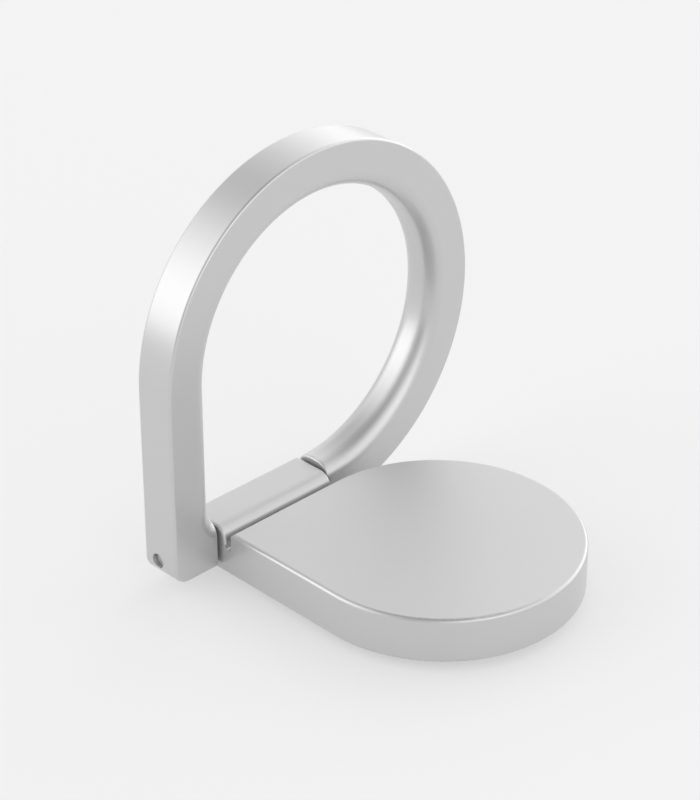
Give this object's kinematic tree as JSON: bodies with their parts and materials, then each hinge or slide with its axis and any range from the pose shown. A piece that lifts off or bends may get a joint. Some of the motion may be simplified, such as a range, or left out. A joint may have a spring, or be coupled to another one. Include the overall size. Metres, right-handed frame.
{
  "type": "phone ring holder",
  "caption": "Teardrop metal phone ring holder: a finger ring hinged on a flat adhesive base plate folds down around the plate or stands up as a grip and stand.",
  "frame": {"origin": "under the centre of the plate's round part, on the sticking face of the adhesive pad", "axes": "+X along the hinge, +Y from the plate's centre to the hinge, +Z away from the phone; the ring stands upright"},
  "size_m": [0.042, 0.0364, 0.0434],
  "materials": {
    "satin_aluminium": "bead-blasted and anodised, satin silver",
    "pin_steel": "ground",
    "foam_tape": "matt acrylic foam"
  },
  "bodies": {
    "base": {"base_plate": "satin_aluminium", "adhesive_pad": "foam_tape"},
    "ring": {"ring": "satin_aluminium", "hinge_pin": "pin_steel"}
  },
  "joints": [
    {"name": "ring_hinge", "type": "hinge", "parent": "base", "child": "ring", "pos_m": [0, 0.0194, 0.00345], "axis": [1, 0, 0], "range_deg": [-90, 90]}
  ]
}
